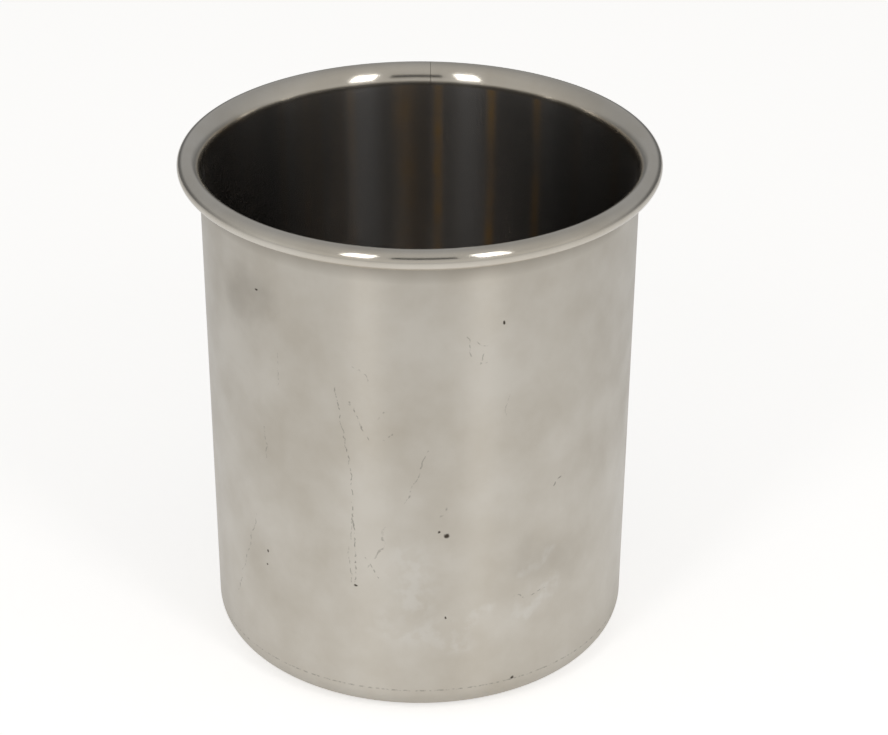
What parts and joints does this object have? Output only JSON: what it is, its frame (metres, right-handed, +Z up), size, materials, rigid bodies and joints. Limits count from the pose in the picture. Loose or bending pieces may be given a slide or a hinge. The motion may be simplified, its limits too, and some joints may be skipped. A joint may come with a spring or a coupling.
{
  "type": "deep drawn metal cup",
  "caption": "Tall open metal cup drawn in one piece from sheet, with a slightly tapered wall, rounded foot and a rim curled over into a round bead.",
  "frame": {"origin": "centre of the plane that the cup stands on, on its axis of revolution", "axes": "+Z up along the cup's axis towards the open mouth; the cup is a body of revolution, so +X and +Y are any two level directions"},
  "size_m": [0.12, 0.12, 0.132],
  "materials": {
    "steel": "satin, fine circumferential polishing lines, lightly scratched"
  },
  "bodies": {
    "root": {"drawn_cup": "steel"}
  },
  "joints": []
}
